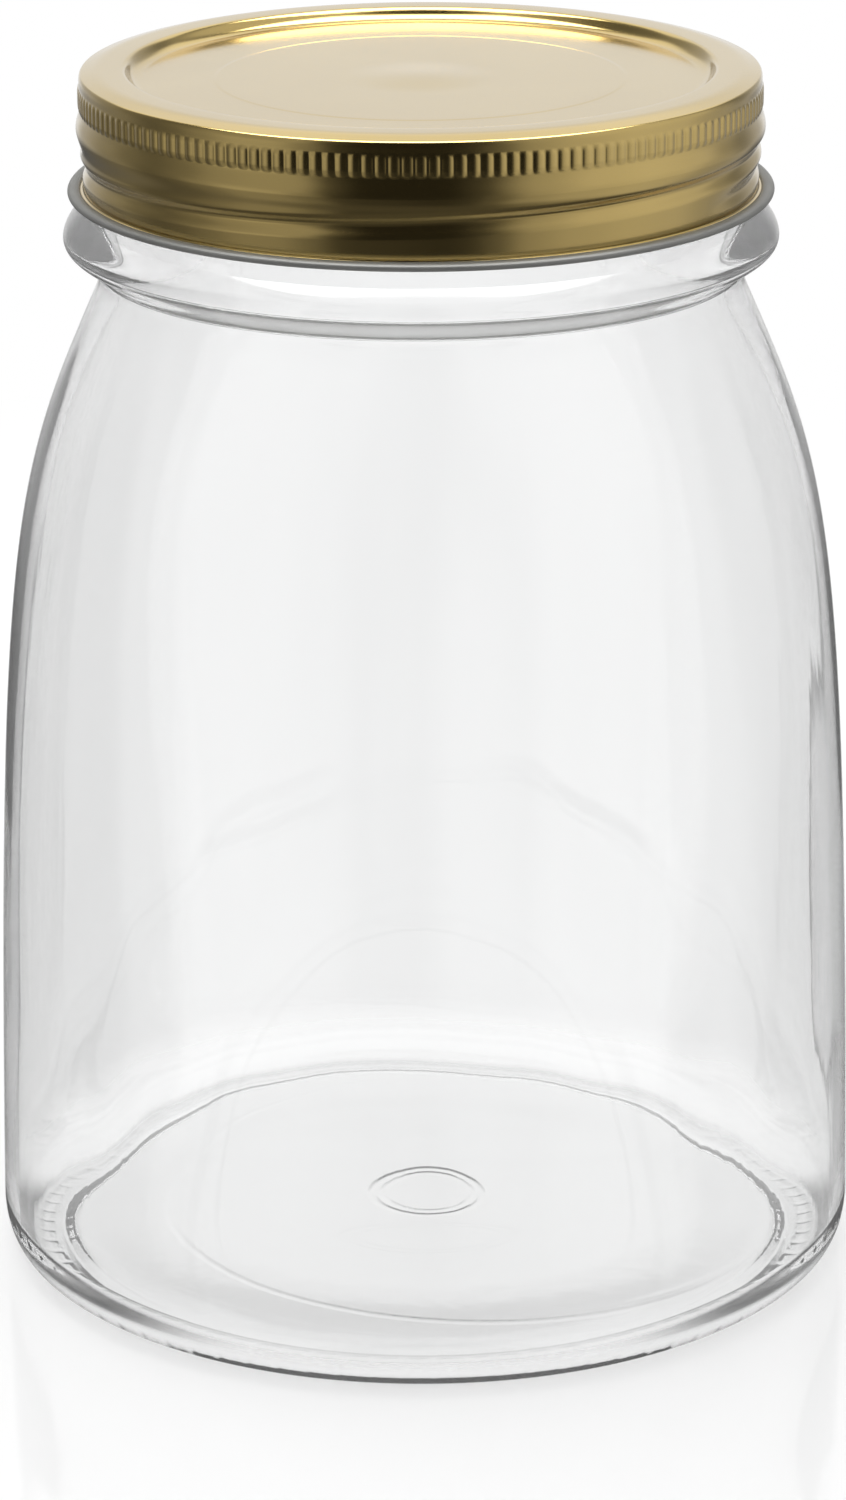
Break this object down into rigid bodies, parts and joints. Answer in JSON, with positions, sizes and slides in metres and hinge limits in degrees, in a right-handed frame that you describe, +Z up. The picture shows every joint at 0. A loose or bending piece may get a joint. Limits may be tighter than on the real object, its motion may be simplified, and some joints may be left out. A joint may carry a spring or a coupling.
{
  "type": "preserving jar",
  "caption": "Wide-mouth preserving jar of clear glass with a softly tapered body, a bead under the neck and a knurled gold screw lid with a sealing ring.",
  "frame": {"origin": "centre of the foot ring, on the plane that the jar stands on", "axes": "+Z up along the jar's axis, which is also the lid's screw axis; -Y is the side that the picture shows"},
  "size_m": [0.115, 0.115, 0.1607],
  "materials": {
    "glass": "clear, smooth, glossy",
    "seal": "satin, rubbery",
    "gold_tinplate": "gold lacquer over bright tinplate, satin gloss; silver-grey lacquer inside"
  },
  "bodies": {
    "jar": {"glass_jar": "glass"},
    "seal": {"sealing_ring": "seal"},
    "lid": {"screw_lid": "gold_tinplate"}
  },
  "joints": [
    {"name": "lid_rise", "type": "slide", "parent": "jar", "child": "seal", "axis": [0, 0, 1], "range_m": [0, 0.01588]},
    {"name": "lid_turn", "type": "hinge", "parent": "seal", "child": "lid", "pos_m": [0, 0, 0.15], "axis": [0, 0, 1], "range_deg": [0, 900]}
  ],
  "couplings": [
    {"joint": "lid_rise", "follows": "lid_turn", "m_per_rad": 0.0010106}
  ]
}
